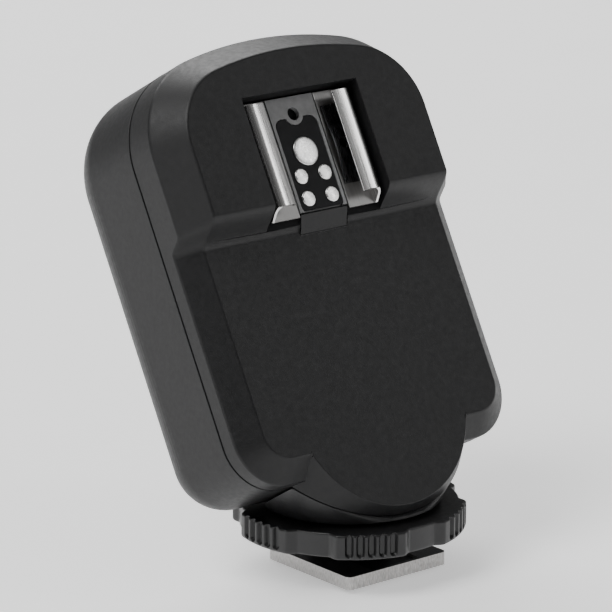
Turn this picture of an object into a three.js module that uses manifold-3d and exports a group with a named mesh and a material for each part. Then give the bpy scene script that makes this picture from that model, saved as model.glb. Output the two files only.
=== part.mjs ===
// Wireless flash trigger for a camera's hot shoe.
// Millimetres. X right, Y to the back, Z up. Origin under the centre of the foot plate.
// The casing is drawn upright, its front towards -Y, in a group that leans back over the foot.
import * as THREE from "three";
import { ConvexGeometry } from "three/addons/geometries/ConvexGeometry.js";
import { mergeVertices } from "three/addons/utils/BufferGeometryUtils.js";
import Module from "manifold-3d";

const wasm = await Module();
wasm.setup();

const GAP = 0.3;

// Casing outline, seen from the front.
const LEAN = THREE.MathUtils.degToRad(29);
const CASING_Y = -4;
const CASING_Z = 15.66;
const HALF_WIDTH = 25.05;
const HEIGHT = 64;
const TOP_CORNER_R = 13.8;
const TOP_ARC_R = 66;
const BOTTOM_CORNER_R = 7.5;
const MIN_CORNER_R = 0.5;

// Casing depths, measured forwards from the seam between the two covers.
const SEAM_HALF_GAP = 0.15;
const WALL = 1.6;
const BEVEL = 3.36;
const PANEL = 5.5;
const PANEL_EDGE = 2.65;
const FACE = 10.3;
const FACE_EDGE = 5.2;
const STEP_Z = 36.6;
const STEP_SLOPE = 0.44;
const STEP_LOW = 34.4;
const STEP_HIGH = 38.8;
const BACK = 17.6;
const BACK_ROUND = 7;

// Round lobe under the lower panel, and the base behind it.
const LOBE_Z = 8.2;
const LOBE_R = 15.3;
const LOBE_DRAFT = 0.6;
const LOBE_SEAM_TOP = 0.7;
const LOBE_SEAM_TILT = 0.38;
const BASE_RIM_R = 13.5;
const BASE_RIM_Z = 9.65;
const BASE_BACK_Y = 5;

// Hot shoe in the raised block. A foot is 18.6 mm wide and 2 mm thick.
const POCKET_HALF = 10.6;
const POCKET_TOP = 54.5;
const POCKET_FLOOR = 6.25;
const SHOE_FLOOR = 7.1;
const SHEET = 0.45;
const CHANNEL_HALF = 9.43;
const LIP_HALF = 6.3;
const LIP_TOP = 9.65;
const LIP_BOTTOM_Z = 38.1;
const RAIL_TOP_Z = 53.5;
const SHEET_END_Z = 36.45;
const CONTACT_HALF = 4.35;
const LOCK_HOLE_Z = 51.6;
const CENTER_CONTACT_Z = 45.9;
const CONTACT_ROWS = [3.55, 6.93];
const CONTACT_X = 2.2;
const SPRING_Z = 46;

// Foot, stem, wheel and pressure disc.
const FOOT_HALF_X = 9.3;
const FOOT_HALF_Y = 9.2;
const FOOT_THICK = 1.95;
const STEM_Y = 1.8;
const STEM_R = 6;
const BORE_R = 6.3;
const DISC_R = 10;
const DISC_Z = [4.4, 5.2];
const WHEEL_R = 17.05;
const WHEEL_RECESS_R = 16.05;
const WHEEL_Z = [5.5, 9.2];
const WHEEL_LOBES = 6;
const WHEEL_TURN = THREE.MathUtils.degToRad(0.9);
const WHEEL_BORE_R = 7.9;
const INSERT_R = 7.6;
const LOBE_HALF_ANGLE = THREE.MathUtils.degToRad(16.5);
const GROOVES = 5;
const GROOVE_DEPTH = 0.45;
const PIN_Y = 5.7;
const STEM_TOP = 9.9;
const BLOCK = { x: 4.1, y: [-8.2, 1.4] };
const FOOT_SCREWS = [[-3.3, 3.5], [3.3, 3.5]];
const BASE_SCREWS = [[-9.6, 0.5], [9.6, 0.5]];

// Back panel: controls above, battery compartment below.
const BUTTON_Z = 38;
const BUTTONS = [
  ["mode", -13.4, 2.3],
  ["channel", -6.2, 2.3],
  ["group", 1, 2.3],
  ["test", 11.4, 4.2],
];
const BUTTON_PROUD = 0.5;
const WINDOW = { x: [-12.5, 10.5], z: [44.6, 55.2] };
const LIGHT = { x: 14.8, z: 46.6, r: 1.1 };
const CASE_SCREWS = [[-15.2, 31.2], [15.2, 31.2], [-15.4, 52.6], [15.4, 52.6]];
const BATTERY = { r: 7.7, half: 13.5, z: 15.9, depth: -8 };
const DOOR = { x: [-15.5, 15.5], z: [7.2, 24.6] };
const DOOR_THICK = 1.4;
const DOOR_AXIS = { x: 14.8, depth: -16.7 };
const BOARD_DEPTH = [0.8, 2];
const CONTROL_BOARD_DEPTH = [-11.6, -10.4];

// Right side: slide switch above, sync socket below.
const SWITCH = { z: 43, depth: -3.4, half: 4.6 };
const SWITCH_TRAVEL = 3;
const JACK = { z: 29.5, depth: -4.4, r: 1.9 };

function moved(geometry, x, y, z) {
  return geometry.translate(x, y, z);
}

// Two ends, moved apart by the same amount, or set about a centre.
function grown([from, to], by) {
  return [from - by, to + by];
}

function around(centre, half) {
  return [centre - half, centre + half];
}

function box([x0, x1], [y0, y1], [z0, z1]) {
  const geometry = new THREE.BoxGeometry(x1 - x0, y1 - y0, z1 - z0);
  return moved(geometry, (x0 + x1) / 2, (y0 + y1) / 2, (z0 + z1) / 2);
}

// Round bar between two places along one axis.
function bar(axis, radius, from, to, segments = 24, endRadius = radius) {
  const geometry = new THREE.CylinderGeometry(endRadius, radius, to - from, segments);
  geometry.translate(0, (from + to) / 2, 0);
  if (axis === "x") geometry.rotateZ(-Math.PI / 2);
  if (axis === "z") geometry.rotateX(Math.PI / 2);
  return geometry;
}

function solid(geometry) {
  const bare = geometry.clone();
  for (const name of ["normal", "uv"]) bare.deleteAttribute(name);
  const merged = mergeVertices(bare, 1e-5);
  return new wasm.Manifold(new wasm.Mesh({
    numProp: 3,
    vertProperties: new Float32Array(merged.attributes.position.array),
    triVerts: new Uint32Array(merged.index.array),
  }));
}

function cut(from, ...tools) {
  return tools.reduce((left, tool) => left.subtract(solid(tool)), solid(from));
}

function join(...pieces) {
  return pieces.map(solid).reduce((sum, piece) => sum.add(piece));
}

function geometryOf(manifold) {
  const mesh = manifold.getMesh();
  const geometry = new THREE.BufferGeometry();
  geometry.setAttribute("position", new THREE.BufferAttribute(new Float32Array(mesh.vertProperties), 3));
  geometry.setIndex(new THREE.BufferAttribute(new Uint32Array(mesh.triVerts), 1));
  return geometry;
}

function arc(centerX, centerZ, radius, start, end, steps) {
  return Array.from({ length: steps + 1 }, (_, i) => {
    const angle = start + (end - start) * i / steps;
    return new THREE.Vector2(centerX + radius * Math.cos(angle), centerZ + radius * Math.sin(angle));
  });
}

// Depth over height across the S-shaped step, from the panel's up to the raised face's.
function between(low, high) {
  const run = STEP_SLOPE * (high - low);
  return (z) => low + (high - low) * THREE.MathUtils.smoothstep(z, STEP_Z - run, STEP_Z + run);
}

// Right half of the casing outline, from the bottom edge to the middle of the top.
function rightOutline(inset) {
  const half = HALF_WIDTH - inset;
  const top = HEIGHT - inset;
  const cornerR = TOP_CORNER_R - inset;
  const topR = TOP_ARC_R - inset;
  const bottomR = Math.max(BOTTOM_CORNER_R - inset, MIN_CORNER_R);
  const cornerX = half - cornerR;
  const cornerZ = top - topR + Math.sqrt((topR - cornerR) ** 2 - cornerX ** 2);
  const meet = Math.atan2(cornerZ - (top - topR), cornerX);
  const stepPoints = 10;
  const side = Array.from({ length: stepPoints + 1 }, (_, i) =>
    new THREE.Vector2(half, STEP_LOW + (STEP_HIGH - STEP_LOW) * i / stepPoints));
  return [
    ...arc(half - bottomR, inset + bottomR, bottomR, -Math.PI / 2, 0, 6),
    ...side,
    ...arc(cornerX, cornerZ, cornerR, 0, meet, 9),
    ...arc(0, top - topR, topR, meet, Math.PI / 2, 5).slice(1, -1),
  ];
}

// Closed solid through matching left-right symmetric outlines, given back to front.
// Each level is an inset and a depth, which may be a function of height.
function shell(levels) {
  const rings = levels.map(([inset, depth]) => {
    const depthAt = typeof depth === "function" ? depth : () => depth;
    return rightOutline(inset).map((p) => new THREE.Vector3(p.x, -depthAt(p.y), p.y));
  });
  const count = rings[0].length;
  const vertices = [];
  for (const ring of rings) {
    for (const side of [1, -1]) {
      for (const p of ring) vertices.push(p.x * side, p.y, p.z);
    }
  }
  const triangles = [];
  const quad = (a, b, c, d) => triangles.push(a, c, b, a, d, c);
  const loop = [...Array(count).keys(), ...Array(count).keys().map((i) => 2 * count - 1 - i)];
  const last = (rings.length - 1) * 2 * count;
  for (let level = 0; level < rings.length - 1; level += 1) {
    const back = level * 2 * count;
    const front = back + 2 * count;
    loop.forEach((a, i) => {
      const b = loop[(i + 1) % loop.length];
      quad(back + a, front + a, front + b, back + b);
    });
  }
  for (let i = 0; i < count - 1; i += 1) {
    quad(i, i + 1, count + i + 1, count + i);
    quad(last + i, last + count + i, last + count + i + 1, last + i + 1);
  }
  const geometry = new THREE.BufferGeometry();
  geometry.setAttribute("position", new THREE.BufferAttribute(new Float32Array(vertices), 3));
  geometry.setIndex(triangles);
  return geometry;
}

// Levels of the back half, from its rounded back to the seam. The inner ones lie a wall deeper in.
function backLevels(wall, extra, seam) {
  const steps = 6;
  const levels = Array.from({ length: steps + 1 }, (_, i) => {
    const angle = Math.PI / 2 * (1 - i / steps);
    const radius = BACK_ROUND - wall;
    const depth = -(BACK - BACK_ROUND + radius * Math.sin(angle)) - extra;
    return [wall - extra + radius * (1 - Math.cos(angle)), depth];
  });
  return [...levels, [wall - extra, seam]];
}

function frontLevels(wall, extra, seam) {
  return [
    [wall - extra, seam],
    [wall - extra, between(PANEL_EDGE - wall / 2 + extra, FACE_EDGE - wall / 2 + extra)],
    [BEVEL + wall * 0.7 - extra, between(PANEL - wall + extra, FACE - wall + extra)],
  ];
}

function lobeSeam(z) {
  return LOBE_SEAM_TOP - LOBE_SEAM_TILT * z;
}

function lobeRadius(depth) {
  return LOBE_R + LOBE_DRAFT * (PANEL - depth);
}

function lobeCone(inset) {
  const back = LOBE_SEAM_TOP - 0.4;
  const front = PANEL - inset;
  const cone = bar("y", lobeRadius(front) - inset, -front, -back, 64, lobeRadius(back) - inset);
  return moved(cone, 0, 0, LOBE_Z);
}

// Prism along x, from an outline given as [depth, height] pairs.
function prism(points, [x0, x1]) {
  const shape = new THREE.Shape(points.map(([depth, z]) => new THREE.Vector2(-depth, z)));
  const geometry = new THREE.ExtrudeGeometry(shape, { depth: x1 - x0, bevelEnabled: false });
  geometry.rotateX(Math.PI / 2);
  geometry.rotateZ(Math.PI / 2);
  return geometry.translate(x0, 0, 0);
}

// Plate in the plane of the front, from a shape in x and z.
function plate(shape, [back, front], curveSegments = 12) {
  const options = { depth: front - back, bevelEnabled: false, curveSegments };
  const geometry = new THREE.ExtrudeGeometry(shape, options);
  geometry.rotateX(Math.PI / 2);
  return geometry.translate(0, -back, 0);
}

function roundedShape([x0, x1], [z0, z1], r) {
  return new THREE.Shape([
    ...arc(x1 - r, z0 + r, r, -Math.PI / 2, 0, 5),
    ...arc(x1 - r, z1 - r, r, 0, Math.PI / 2, 5),
    ...arc(x0 + r, z1 - r, r, Math.PI / 2, Math.PI, 5),
    ...arc(x0 + r, z0 + r, r, Math.PI, Math.PI * 1.5, 5),
  ]);
}

// Upright plate lying flat over the foot, from a shape in x and y.
function slab(shape, [z0, z1]) {
  const options = { depth: z1 - z0, bevelEnabled: false, curveSegments: 16 };
  const geometry = new THREE.ExtrudeGeometry(shape, options);
  return geometry.translate(0, 0, z0);
}

const part = new THREE.Group();
const casing = new THREE.Group();
casing.rotation.x = -LEAN;
casing.position.set(0, CASING_Y, CASING_Z);
part.add(casing);
const toWorld = new THREE.Matrix4().makeRotationX(-LEAN).setPosition(0, CASING_Y, CASING_Z);
const toCasing = toWorld.clone().invert();

const MATERIALS = {
  blackPlastic: [0x2b2b2c, 0.62, 0],
  darkPlastic: [0x1c1c1d, 0.55, 0],
  greyPlastic: [0x66686a, 0.5, 0],
  rubber: [0x1a1a1a, 0.85, 0],
  steel: [0xc9cacb, 0.28, 1],
  contactMetal: [0xe2e2df, 0.25, 1],
  blackSteel: [0x1e1e20, 0.45, 0.8],
  brass: [0xc2a15a, 0.35, 1],
  board: [0x1d4a2c, 0.6, 0],
  glass: [0x10161a, 0.1, 0],
  lightGuide: [0xc9d6cf, 0.25, 0],
  cell: [0x3c4a63, 0.4, 0.3],
};

function add(group, name, shape, look) {
  const [color, roughness, metalness] = MATERIALS[look];
  const geometry = shape.isBufferGeometry ? shape : geometryOf(shape);
  const mesh = new THREE.Mesh(geometry, new THREE.MeshStandardMaterial({ color, roughness, metalness }));
  mesh.name = name;
  group.add(mesh);
  return mesh;
}

// The lobe in front of its tilted back edge, grown on every side by a clearance.
function lobe(grow) {
  const behind = [[-30, 0], [lobeSeam(0) - grow, 0], [lobeSeam(-12) - grow, -12], [-30, -12]];
  return cut(lobeCone(-grow), prism(behind, [-30, 30]));
}

function frontCover() {
  const outer = solid(shell(frontLevels(0, 0, SEAM_HALF_GAP))).add(lobe(0));
  const hollow = solid(shell(frontLevels(WALL, 0, -1)));
  const lobeHollow = solid(lobeCone(WALL));
  const pocketWalls = box(
    [-POCKET_HALF - WALL, POCKET_HALF + WALL],
    [-FACE + 1, -POCKET_FLOOR + 1.4],
    [STEP_LOW - 0.2, POCKET_TOP + WALL],
  );
  const pocket = box([-POCKET_HALF, POCKET_HALF], [-FACE - 5, -POCKET_FLOOR], [STEP_LOW - 1, POCKET_TOP]);
  const tongue = prism(
    [[PANEL - 1, 34], [PANEL + 0.02, 34.2], [SHOE_FLOOR, 36.8], [SHOE_FLOOR, 36.9], [PANEL - 1, 36.9]],
    [-CONTACT_HALF, CONTACT_HALF],
  );
  let cover = outer.subtract(hollow).subtract(lobeHollow);
  cover = cover.add(solid(pocketWalls).intersect(outer)).subtract(solid(pocket)).add(solid(tongue));
  for (const [x, z] of CASE_SCREWS) {
    const bossFront = z > STEP_HIGH ? FACE - 1 : PANEL - 1;
    const boss = moved(bar("y", 2.2, -bossFront, -SEAM_HALF_GAP - 0.3, 16), x, 0, z);
    const bore = moved(bar("y", 1.15, -3.6, 1, 12), x, 0, z);
    cover = cover.add(solid(boss)).subtract(solid(bore));
  }
  add(casing, "front_cover", cover, "blackPlastic");
}

function rearCover() {
  const outer = shell(backLevels(0, 0, -SEAM_HALF_GAP));
  const hollow = shell(backLevels(WALL, 0, 1));
  let cover = cut(outer, hollow);
  const through = [BACK - 3, BACK + 2];
  const doorway = roundedShape(grown(DOOR.x, GAP), grown(DOOR.z, GAP), 0.8);
  const opening = roundedShape(grown(WINDOW.x, -1.2), grown(WINDOW.z, -1.2), 0.6);
  const side = [HALF_WIDTH - 3, HALF_WIDTH + 1];
  const tools = [
    plate(doorway, [-BACK - 1, -BACK + 3]),
    plate(roundedShape(WINDOW.x, WINDOW.z, 1), [-BACK - 1, -BACK + 0.7]),
    plate(opening, [-BACK - 1, -BACK + 3]),
    moved(bar("y", LIGHT.r + 0.2, ...through, 16), LIGHT.x, 0, LIGHT.z),
    box(side, around(-SWITCH.depth, 1.5), around(SWITCH.z, SWITCH.half)),
    box([HALF_WIDTH - 0.8, HALF_WIDTH + 1], around(-JACK.depth, 3.5), around(JACK.z, 4.9)),
    moved(bar("x", JACK.r + 0.4, ...side, 20), 0, -JACK.depth, JACK.z),
  ];
  for (const [, x, r] of BUTTONS) tools.push(moved(bar("y", r + 0.25, ...through), x, 0, BUTTON_Z));
  for (const end of [-1, 1]) {
    const floor = DOOR.z[end < 0 ? 0 : 1] + end * GAP;
    const ends = [floor + end * 2.2, floor].sort((a, b) => a - b);
    cover = cover.add(solid(box(around(DOOR_AXIS.x, 1.6), [15, BACK - 1], ends)));
    const pivot = bar("z", 0.65, floor - (end < 0 ? 1.4 : 0.2), floor + (end < 0 ? 0.2 : 1.4), 12);
    tools.push(moved(pivot, DOOR_AXIS.x, -DOOR_AXIS.depth, 0));
  }
  tools.push(moved(bar("y", 1.9, BACK - 0.7, BACK + 1, 20), DOOR.x[0] - 0.8, 0, BATTERY.z));
  for (const [x, y] of BASE_SCREWS) {
    tools.push(moved(bar("z", 1.1, 5, 17.6, 12), x, y, 0).applyMatrix4(toCasing));
  }
  for (const x of [-17.2, 16.2]) {
    const rib = box([x, x + 1], [1, BACK - 1], [0.8, 25.6]);
    cover = cover.add(solid(rib).intersect(solid(outer)));
  }
  for (const tool of tools) cover = cover.subtract(solid(tool));
  for (const [x, z] of CASE_SCREWS) {
    const post = moved(bar("y", 2.8, 1.5, BACK - 1, 18), x, 0, z);
    cover = cover.add(solid(post));
    cover = cover.subtract(solid(moved(bar("y", 2.1, BACK - 2.4, BACK + 1, 18), x, 0, z)));
    cover = cover.subtract(solid(moved(bar("y", 1.25, 0, BACK, 14), x, 0, z)));
  }
  add(casing, "rear_cover", cover, "blackPlastic");
}

// Pedestal: the hull between the back edge of the lobe and a level rim over the wheel.
function footBase() {
  const points = [];
  const steps = 28;
  for (let i = 0; i <= steps; i += 1) {
    const angle = Math.PI * (1 + i / steps);
    let depth = LOBE_SEAM_TOP;
    let z = 0;
    for (let pass = 0; pass < 8; pass += 1) {
      z = LOBE_Z + lobeRadius(depth) * Math.sin(angle);
      depth = lobeSeam(Math.min(z, 0));
    }
    const x = lobeRadius(depth) * Math.cos(angle);
    points.push(new THREE.Vector3(x, -depth + GAP + 0.1, z).applyMatrix4(toWorld));
  }
  for (const [radius, z] of [[BASE_RIM_R, BASE_RIM_Z], [BASE_RIM_R + 0.3, BASE_RIM_Z + 0.6]]) {
    for (const p of arc(0, STEM_Y, radius, 0, 2 * Math.PI, 64)) points.push(new THREE.Vector3(p.x, p.y, z));
  }
  const covers = [
    shell([[-GAP, -BACK_ROUND * 2], [-GAP, PANEL_EDGE], [BEVEL - GAP, PANEL + GAP]]),
    shell(backLevels(0, GAP, 1)),
  ];
  let base = solid(new ConvexGeometry(points)).subtract(solid(box([-30, 30], [BASE_BACK_Y, 40], [0, 60])));
  for (const cover of covers) base = base.subtract(solid(cover.applyMatrix4(toWorld)));
  base = base.subtract(lobe(GAP).transform(toWorld.elements));
  base = base.subtract(solid(moved(bar("z", BORE_R, 5, STEM_TOP + GAP, 32), 0, STEM_Y, 0)));
  for (const [x, y] of BASE_SCREWS) {
    base = base.subtract(solid(moved(bar("z", 1.1, 5, 30, 12), x, y, 0)));
    base = base.subtract(solid(moved(bar("z", 1.9, 5, 11, 16), x, y, 0)));
  }
  add(part, "foot_base", base, "blackPlastic");
}

// Steel shoe: a floor with a side wall and a folded lip along each edge, open between the floors.
function hotShoe() {
  const wall = CHANNEL_HALF + SHEET;
  const under = SHOE_FLOOR - SHEET;
  const bend = 1.5;
  const right = [
    new THREE.Vector2(wall, -under),
    ...arc(wall - bend, -(LIP_TOP - bend), bend, 0, -Math.PI / 2, 5),
    new THREE.Vector2(LIP_HALF, -LIP_TOP),
    new THREE.Vector2(LIP_HALF, -(LIP_TOP - SHEET)),
    ...arc(wall - bend, -(LIP_TOP - bend), bend - SHEET, -Math.PI / 2, 0, 3),
    new THREE.Vector2(CHANNEL_HALF, -SHOE_FLOOR),
  ];
  const left = right.map((p) => new THREE.Vector2(-p.x, p.y)).reverse();
  const rails = slab(new THREE.Shape([...right, ...left]), [SHEET_END_Z, POCKET_TOP - GAP]);
  const overFloor = SHOE_FLOOR + 0.1;
  const slant = [[overFloor, SHEET_END_Z], [LIP_TOP - SHEET, LIP_BOTTOM_Z]];
  const slantedEnd = prism([[overFloor, 30], ...slant, [12, LIP_BOTTOM_Z], [12, 30]], [-12, 12]);
  const topEnd = box([-12, 12], [-12, -overFloor], [RAIL_TOP_Z, 60]);
  const middle = [-CONTACT_HALF - 0.25, CONTACT_HALF + 0.25];
  const bridge = box(middle, [-SHOE_FLOOR - 1, -SHOE_FLOOR + 0.25], [53, 60]);
  const holes = [-1, 1].map((side) => moved(bar("y", 0.85, -9, 0, 16), side * 6.9, 0, SPRING_Z));
  const window = box(middle, [-SHOE_FLOOR - 1, 0], [30, 53.1]);
  add(casing, "hot_shoe_plate", cut(rails, window, slantedEnd, topEnd, bridge, ...holes), "steel");
  for (const [name, x0, x1] of [["shoe_spring_left", -8.7, -5.1], ["shoe_spring_right", 5.1, 8.7]]) {
    const low = SHOE_FLOOR + 0.06;
    const crown = 0.5;
    const top = low + 0.16;
    const upper = [[low, 40], [top, 40], [top + crown, SPRING_Z]];
    const strip = prism([...upper, [top, 52], [low, 52], [low + crown, SPRING_Z]], [x0, x1]);
    const hole = moved(bar("y", 0.85, -9, 0, 16), (x0 + x1) / 2, 0, SPRING_Z);
    add(casing, name, cut(strip, hole), "steel");
  }
}

function contactBlock() {
  const shoulderZ = 51;
  const half = CONTACT_HALF - 0.55;
  const plateShape = (grow) =>
    roundedShape([-half - grow, half + grow], [37.3 - grow * 8, shoulderZ + grow], 1.3);
  const dip = (r) => moved(bar("y", r, -9, 0, 28), 0, 0, LOCK_HOLE_Z);
  const insulator = cut(plate(plateShape(0), [SHOE_FLOOR - 0.4, SHOE_FLOOR]), dip(1.75));
  const recess = cut(plate(plateShape(0.08), [SHOE_FLOOR - 0.47, SHOE_FLOOR + 1]), dip(1.67));
  const blank = box([-CONTACT_HALF, CONTACT_HALF], [-SHOE_FLOOR - 0.05, -POCKET_FLOOR - 0.15], [37.1, 52.9]);
  const width = [-CONTACT_HALF, CONTACT_HALF];
  const head = box(width, [-SHOE_FLOOR - 0.05, -SHOE_FLOOR + 0.15], [52.8, POCKET_TOP - GAP]);
  const frame = solid(blank).subtract(recess).subtract(solid(dip(1))).add(solid(head));
  add(casing, "contact_frame", frame, "greyPlastic");
  add(casing, "contact_plate", insulator, "darkPlastic");
  const contact = (name, r, x, z) => {
    const disc = bar("y", r - 0.15, -SHOE_FLOOR - 0.35, -SHOE_FLOOR - 0.04, r > 2 ? 36 : 24, r);
    add(casing, name, moved(disc, x, 0, z), "contactMetal");
  };
  contact("center_contact", 2.15, 0, CENTER_CONTACT_Z);
  CONTACT_ROWS.forEach((drop, row) => {
    [-CONTACT_X, CONTACT_X].forEach((x, column) => {
      contact(`signal_contact_${row * 2 + column + 1}`, 1.15, x, CENTER_CONTACT_Z - drop);
    });
  });
}

// Scalloped outline of the locking wheel: grooved lobes with shallow recesses between them.
function wheelShape() {
  const points = [];
  const polar = (radius, angle) =>
    points.push(new THREE.Vector2(radius * Math.cos(angle), radius * Math.sin(angle)));
  const pitch = 2 * Math.PI / WHEEL_LOBES;
  const ramp = THREE.MathUtils.degToRad(5.5);
  const grooveStep = LOBE_HALF_ANGLE * 2 / (GROOVES + 1);
  const grooveHalf = THREE.MathUtils.degToRad(1.3);
  for (let lobeIndex = 0; lobeIndex < WHEEL_LOBES; lobeIndex += 1) {
    const middle = WHEEL_TURN + lobeIndex * pitch;
    polar(WHEEL_R, middle - LOBE_HALF_ANGLE);
    for (let groove = 1; groove <= GROOVES; groove += 1) {
      const angle = middle - LOBE_HALF_ANGLE + groove * grooveStep;
      polar(WHEEL_R, angle - grooveHalf);
      polar(WHEEL_R - GROOVE_DEPTH, angle - grooveHalf / 2);
      polar(WHEEL_R - GROOVE_DEPTH, angle + grooveHalf / 2);
      polar(WHEEL_R, angle + grooveHalf);
    }
    polar(WHEEL_R, middle + LOBE_HALF_ANGLE);
    const recessStart = middle + LOBE_HALF_ANGLE + ramp;
    const recessEnd = middle + pitch - LOBE_HALF_ANGLE - ramp;
    for (const share of [0, 0.33, 0.67, 1]) {
      polar(WHEEL_RECESS_R, recessStart + (recessEnd - recessStart) * share);
    }
  }
  return new THREE.Shape(points);
}

function roundShape(radius, segments = 48) {
  return new THREE.Shape(arc(0, 0, radius, 0, 2 * Math.PI, segments).slice(0, -1));
}

function lockingWheel() {
  const wheel = cut(slab(wheelShape(), WHEEL_Z), bar("z", WHEEL_BORE_R, 0, 12, 40));
  add(part, "locking_wheel", wheel.translate([0, STEM_Y, 0]), "darkPlastic");
  const bore = bar("z", BORE_R, 0, 12, 40);
  const insert = cut(bar("z", INSERT_R, WHEEL_Z[0] + 0.15, WHEEL_Z[1] - 0.15, 40), bore);
  add(part, "wheel_insert", insert.translate([0, STEM_Y, 0]), "brass");
  const key = box([-1.05, 1.05], [4.75, STEM_Y + BORE_R + 0.6], DISC_Z);
  const ring = cut(bar("z", DISC_R, ...DISC_Z, 40), bore).translate([0, STEM_Y, 0]);
  add(part, "pressure_disc", ring.add(solid(key)), "darkPlastic");
  add(part, "locking_pin", moved(bar("z", 0.95, 0.35, DISC_Z[0] - GAP, 16), 0, PIN_Y, 0), "steel");
}

function foot() {
  const cornerR = 0.8;
  const window = box([-BLOCK.x - GAP, BLOCK.x + GAP], [BLOCK.y[0] - GAP, BLOCK.y[1] + GAP], [-1, 4]);
  const cuts = [window, moved(bar("z", 1.25, -1, 4, 20), 0, PIN_Y, 0)];
  const stemCuts = [
    box([-1.35, 1.35], [4.4, 9.5], [1, 12]),
    shell(backLevels(0, GAP, 1)).applyMatrix4(toWorld),
  ];
  for (const [x, y] of FOOT_SCREWS) {
    cuts.push(moved(bar("z", 1.05, -1, 4, 14), x, y, 0), moved(bar("z", 1.5, -1, 1.1, 16), x, y, 0));
    stemCuts.push(moved(bar("z", 1.05, 1, 7, 14), x, y, 0));
  }
  const outline = roundedShape([-FOOT_HALF_X, FOOT_HALF_X], [-FOOT_HALF_Y, FOOT_HALF_Y], cornerR);
  add(part, "foot_plate", cut(slab(outline, [0, FOOT_THICK]), ...cuts), "blackSteel");
  const stem = moved(bar("z", STEM_R, FOOT_THICK + GAP, STEM_TOP, 40), 0, STEM_Y, 0);
  add(part, "foot_stem", cut(stem, ...stemCuts), "darkPlastic");
  FOOT_SCREWS.forEach(([x, y], i) => {
    const screw = join(bar("z", 1.2, 0.1, 0.95, 16), bar("z", 0.75, 0.9, 6.5, 12));
    add(part, i === 0 ? "foot_screw_left" : "foot_screw_right", screw.translate([x, y, 0]), "steel");
  });
  BASE_SCREWS.forEach(([x, y], i) => {
    const screw = join(bar("z", 1.6, 9.8, 10.7, 16), bar("z", 0.8, 10.6, 17, 12));
    add(part, i === 0 ? "base_screw_left" : "base_screw_right", screw.translate([x, y, 0]), "blackSteel");
  });
  const pins = [["foot_pin_center", 0, 0, 0.9]];
  CONTACT_ROWS.forEach((drop, row) => {
    [-CONTACT_X, CONTACT_X].forEach((x, column) => {
      pins.push([`foot_pin_${row * 2 + column + 1}`, x, -drop, 0.55]);
    });
  });
  const holes = pins.map(([, x, y, r]) => moved(bar("z", r + 0.25, -1, 1.45, 16), x, y, 0));
  const block = box([-BLOCK.x, BLOCK.x], BLOCK.y, [0.15, 1.65]);
  add(part, "foot_contact_block", cut(block, ...holes), "darkPlastic");
  for (const [name, x, y, r] of pins) {
    const pin = join(bar("z", r * 0.6, -0.45, -0.2, 16, r), bar("z", r, -0.2, 0.95, 16));
    add(part, name, pin.translate([x, y, 0]), "contactMetal");
  }
}

function boards() {
  const screwHoles = (r) => CASE_SCREWS.map(([x, z]) => moved(bar("y", r, -9, 20, 16), x, 0, z));
  const main = plate(roundedShape([-19, 19], [6, 56], 2), BOARD_DEPTH);
  add(casing, "main_board", cut(main, ...screwHoles(2.6)), "board");
  add(casing, "radio_module", box([-9, 5], [-3.5, -2.3], [14, 28]), "steel");
  add(casing, "antenna_strip", box([-12, 6], [-1.6, -0.8], [57, 59.6]), "board");
  const control = plate(roundedShape([-17.5, 17.5], [34.6, 56], 2), CONTROL_BOARD_DEPTH);
  add(casing, "control_board", cut(control, ...screwHoles(3.2)), "board");
  add(casing, "display_module", box([-11, 9], [11.9, 14.6], [46, 54]), "glass");
  const windowShape = roundedShape(grown(WINDOW.x, -0.2), grown(WINDOW.z, -0.2), 0.9);
  add(casing, "display_window", plate(windowShape, [-BACK + 0.05, -BACK + 0.5]), "glass");
  const light = join(bar("y", LIGHT.r, 14, BACK - 0.05, 16), bar("y", LIGHT.r + 0.4, 12, 14.2, 16));
  add(casing, "status_light", light.translate([LIGHT.x, 0, LIGHT.z]), "lightGuide");
}

function controls() {
  for (const [name, x, r] of BUTTONS) {
    const cap = join(bar("y", r, 14.5, BACK + BUTTON_PROUD, 24), bar("y", r + 0.7, 14.5, 15.7, 24));
    const look = name === "test" ? "greyPlastic" : "rubber";
    add(casing, `${name}_button`, cap.translate([x, 0, BUTTON_Z]), look);
    const contact = join(box([-2, 2], [11.9, 13.4], [-2, 2]), bar("y", 0.9, 13.3, 13.8, 12));
    add(casing, `${name}_switch`, contact.translate([x, 0, BUTTON_Z]), "steel");
  }
  const y = -SWITCH.depth;
  const knob = join(
    box([22.8, HALF_WIDTH + 0.7], [y - 1.3, y + 1.3], [-2.9, 2.9]),
    box([22.1, 23.1], [y - 2.2, y + 2.2], [-4.2, 4.2]),
  );
  add(casing, "power_knob", knob.translate([0, 0, SWITCH.z - SWITCH_TRAVEL / 2]), "rubber");
  add(casing, "power_switch", box([17.6, 21.8], around(y, 1.8), around(SWITCH.z, 4.5)), "steel");
  const jackY = -JACK.depth;
  const socket = join(
    box([18.4, 23.1], around(jackY, 2.8), around(JACK.z, 2.6)),
    moved(bar("x", JACK.r, 23, 24, 20), 0, jackY, JACK.z),
  );
  const plugHole = solid(moved(bar("x", 1.25, 20, 25, 16), 0, jackY, JACK.z));
  add(casing, "sync_jack", socket.subtract(plugHole), "darkPlastic");
  const flap = join(
    box([24.45, 25.35], [jackY - 3.2, jackY + 3.2], [JACK.z - 4.1, JACK.z + 3.65]),
    moved(bar("y", 0.45, jackY - 3.2, jackY + 3.2, 16), 24.9, 0, JACK.z + 3.65),
    moved(bar("x", 1, 23.7, 24.5, 16), 0, jackY, JACK.z),
  );
  add(casing, "sync_cover", flap, "rubber");
}

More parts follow.
